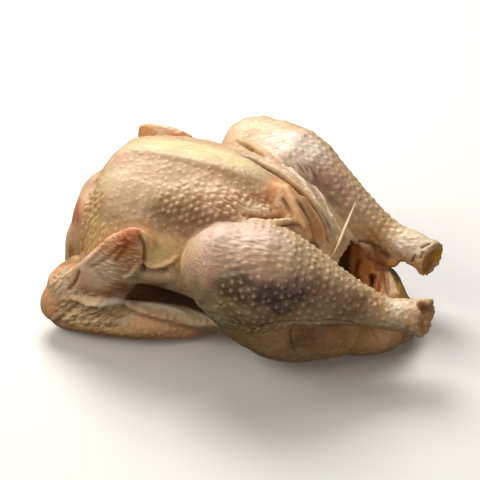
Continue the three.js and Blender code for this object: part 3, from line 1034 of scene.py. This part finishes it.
def skin_material():
    """Moist skin in the colours of the attribute tint, whose alpha is its share of gloss."""
    new, tree, shader = moist_material("raw_skin", 0.46, 0.15, 1100, 0.00035)
    tint = add_node(tree, "Attribute", {}, attribute_name="tint")
    depth = add_node(tree, "MapRange", {"To Min": 0.8, "To Max": 1.2, "Value": add_grain(tree, 650, 4)})
    shade = add_node(tree, "VectorMath", {0: tint["Color"], "Scale": depth["Result"]}, operation="SCALE")
    gloss = add_node(tree, "Math", {0: tint["Alpha"], 1: 0.5}, operation="MULTIPLY")
    fill(shader, {"Base Color": shade["Vector"], "Specular IOR Level": gloss["Value"]})
    return new


# ---- The bird ----

# The share of gloss that the wing's hollow and the cavity lack.
GAP_DULLNESS = 0.9
CAVITY_DULLNESS = 0.6
TUBE_REFERENCE = (0.3, 0.5, 0.81)  # lies along no tube
BALL_RINGS = 14
BALL_SIDES = 20
BALL_BUMPS = 0.5
# The glossy end of the bone in the right leg's cut end: the centres and radii of balls that join.
KNOB = [((109.5, -31.5, 36), 3.2), ((109.5, -32.5, 32), 4.0), ((109.5, -33.5, 28), 3.7)]
KNOB_LENGTH = 3.6
TENDON_PATH = [(58, 28, 66), (57, 14, 64), (56, 0, 62), (55, -11, 60), (53, -19, 57)]
# Fine hairs: the root of each, the way it points and its length.
HAIRS = [
    ((-30, -46, 80.8), (1, -0.15, -0.25), 8), ((-62, -35, 93), (0.3, -0.5, 0.4), 5),
    ((-6, -60, 90), (-0.6, -0.4, 0.5), 5), ((60, -63, 64), (0.4, -0.6, 0.4), 5),
    ((-98, -50, 40), (-0.8, -0.3, 0.4), 4), ((4, -79, 40), (-0.3, -0.8, -0.3), 5),
    ((62, 36, 70), (0.4, -0.2, 0.9), 5), ((88, -52, 44), (0.5, -0.7, 0.3), 4),
]
HAIR_STEPS = 7
HAIR_BEND = np.array([0, -0.4, 0.6])
HAIR_RADIUS = 0.1
HAIR_TAPER = 0.06


def add_piece(name, mesh, surface_material):
    mesh.name = name
    mesh.materials.clear()
    mesh.materials.append(surface_material)
    mesh.polygons.foreach_set("use_smooth", np.ones(len(mesh.polygons), bool))
    piece = placed(name, mesh)
    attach(piece, BODY)
    return piece


def sculpt(surface, regions, canvas):
    """Sculpts all but the follicles, and returns how far each corner lies in each leg's cut end."""
    relief = Relief(canvas)
    for edge in (KEEL_EDGE, KEEL_FAR_EDGE):
        relief.terrace(edge, *KEEL_STEP)
    for width, height, _, _, path in LINES:
        relief.line(path, width, height)
    sculpt_fields(relief)
    sculpt_cavity(relief, regions)
    sculpt_everywhere(relief, regions)
    cuts = [sculpt_ankle(relief, bones) for bones in (RIGHT, LEFT)]
    surface.places = relief.places + relief.moves
    return cuts


def build_skin():
    surface = even_skin()
    canvas = Canvas(surface)
    regions = Regions(surface.places)
    cuts = sculpt(surface, regions, canvas)
    knobs = grow_follicles(surface, regions, canvas.tree)
    surface.places[:, 2] = np.maximum(surface.places[:, 2], 0)
    surface.store()
    colour = skin_colours(surface, regions, canvas, knobs, cuts)
    gloss = 1 - GAP_DULLNESS * regions.gap - CAVITY_DULLNESS * regions.inside
    tint = surface.mesh.color_attributes.new("tint", "FLOAT_COLOR", "POINT")
    tint.data.foreach_set("color", np.c_[colour, gloss].astype(np.float32).ravel())
    piece = add_piece("skin", surface.mesh, skin_material())
    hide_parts(NODE)


def ring_faces(rings, sides):
    """The quads that join each ring of corners to the next."""
    faces = []
    for i in range(rings - 1):
        for k in range(sides):
            m = (k + 1) % sides
            faces.append((i * sides + k, i * sides + m, (i + 1) * sides + m, (i + 1) * sides + k))
    return faces


def ring_corners(centres, side, above, radii, sides):
    turn = np.linspace(0, 2 * math.pi, sides, endpoint=False)[:, None]
    spokes = np.cos(turn) * side[..., None, :] + np.sin(turn) * above[..., None, :]
    return (centres[:, None] + spokes * radii[:, None, None]).reshape(-1, 3)


def tube(path, radii, sides):
    """A tube along a path of points, with a radius at each, as corners and faces."""
    path = np.array(path, float)
    ahead = unit(np.gradient(path, axis=0))
    side = unit(np.cross(ahead, TUBE_REFERENCE))
    corners = ring_corners(path, side, np.cross(side, ahead), radii, sides)
    ends = [tuple(reversed(range(sides))), tuple(range(len(corners) - sides, len(corners)))]
    return corners, ring_faces(len(path), sides) + ends


def ball(centre, axis, radius, length):
    """An uneven ball, longer or shorter along its axis, as corners and faces."""
    axis = unit(axis)
    side = unit(np.cross(axis, (0, 0, 1)))
    tilt = math.pi * np.arange(1, BALL_RINGS) / BALL_RINGS
    centres = -length * np.cos(tilt)[:, None] * axis
    rings = ring_corners(centres, side, np.cross(side, axis), radius * np.sin(tilt), BALL_SIDES)
    corners = np.vstack([rings, -length * axis, length * axis]) + centre
    corners += unit(corners - centre) * (BALL_BUMPS * noise(corners, 0.7 * radius, 120))[:, None]
    first = len(rings)
    faces = ring_faces(BALL_RINGS - 1, BALL_SIDES)
    for k in range(BALL_SIDES):
        m = (k + 1) % BALL_SIDES
        faces += [(first, m, k), (first + 1, first - BALL_SIDES + k, first - BALL_SIDES + m)]
    return corners, faces


def mesh_from(parts):
    """One mesh, in metres, of several (corners, faces) in millimetres."""
    corners, faces = [], []
    for points, loops in parts:
        faces += [tuple(len(corners) + i for i in loop) for loop in loops]
        corners += (points * MM).tolist()
    mesh = bpy.data.meshes.new("part")
    mesh.from_pydata(corners, [], faces)
    return mesh


def build_bone():
    parts = [ball(centre, RIGHT["cut_facing"], radius, KNOB_LENGTH) for centre, radius in KNOB]
    add_piece("right_leg_bone", mesh_from(parts), flesh_material("gristle", BONE, 0.16, 0.02))


def build_tendon():
    """The taut edge of skin that spans the hollow between the left leg and the vent."""
    path = smooth_path(TENDON_PATH)
    radii = 0.3 + 0.8 * np.sin(np.linspace(0, math.pi, len(path)))
    add_piece("tendon", mesh_from([tube(path, radii, 10)]), flesh_material("taut_skin", TENDON, 0.45, 0.1))


def build_hairs():
    parts = []
    steps = np.linspace(0, 1, HAIR_STEPS)
    for root, way, length in HAIRS:
        path = [root + unit(way) * length * t + HAIR_BEND * 4 * t * (1 - t) for t in steps]
        parts.append(tube(path, HAIR_RADIUS - HAIR_TAPER * steps, 5))
    add_piece("fine_hairs", mesh_from(parts), flesh_material("hair", HAIR, 0.4, 0))


build_skin()
build_bone()
build_tendon()
build_hairs()


# ---- The stage ----

TARGET = Vector((-0.005, -0.0003, 0.048))  # what the camera looks at, in metres
CAMERA_AZIMUTH = 14  # degrees
CAMERA_ELEVATION = 33
CAMERA_DISTANCE = 0.9
LENS = 114.75
SENSOR = 36
# Each lamp's name, azimuth and elevation in degrees, and power in watts.
LAMPS = [
    ("key", 213, 49, 11), ("fill", 313, 39, 3.5), ("top", 180, 65, 3),
    ("left", 285, 42, 2.5), ("right", 45, 20, 2),
]
LAMP_DISTANCE = 1.1
LAMP_SIZE = 0.6
KEY_TONE = (1.0, 0.98, 0.95)
FILL_TONE = (1.0, 0.94, 0.85)
WORLD_LIGHT = {"Color": (1.0, 0.9, 0.78, 1), "Strength": 0.07}
FLOOR_PAINT = {"Base Color": (0.88, 0.88, 0.87, 1), "Roughness": 0.7}
FLOOR_HALF = 4.0


def add_aimed(data, azimuth, elevation, distance):
    """Adds a camera or lamp that looks at the target. Azimuth 0 is the bird's right side, in degrees."""
    azimuth, elevation = math.radians(azimuth), math.radians(elevation)
    level = math.cos(elevation)
    away = Vector((math.sin(azimuth) * level, -math.cos(azimuth) * level, math.sin(elevation)))
    piece = placed(data.name, data)
    piece.location = TARGET + away * distance
    piece.rotation_euler = (TARGET - piece.location).to_track_quat("-Z", "Y").to_euler()
    return piece


def add_camera():
    data = bpy.data.cameras.new("camera")
    data.lens = LENS
    data.sensor_width = SENSOR
    bpy.context.scene.camera = add_aimed(data, CAMERA_AZIMUTH, CAMERA_ELEVATION, CAMERA_DISTANCE)


def add_lamp(name, azimuth, elevation, power):
    data = bpy.data.lights.new(name, "AREA")
    data.size = LAMP_SIZE
    data.energy = power
    data.color = KEY_TONE if name == "key" else FILL_TONE
    add_aimed(data, azimuth, elevation, LAMP_DISTANCE)


def add_floor():
    mesh = bpy.data.meshes.new("floor")
    square = ((-1, -1), (1, -1), (1, 1), (-1, 1))
    mesh.from_pydata([(x * FLOOR_HALF, y * FLOOR_HALF, 0) for x, y in square], [], [(0, 1, 2, 3)])
    mesh.materials.append(material("pale_floor", FLOOR_PAINT)[0])
    floor = placed("floor", mesh)
    floor.visible_diffuse = False
    floor.visible_glossy = False


def add_world():
    world = bpy.data.worlds.new("studio")
    bpy.context.scene.world = world
    world.use_nodes = True
    fill(world.node_tree.nodes["Background"], WORLD_LIGHT)


add_camera()
add_floor()
add_world()
for lamp in LAMPS:
    add_lamp(*lamp)
bpy.context.scene.view_settings.view_transform = "Standard"
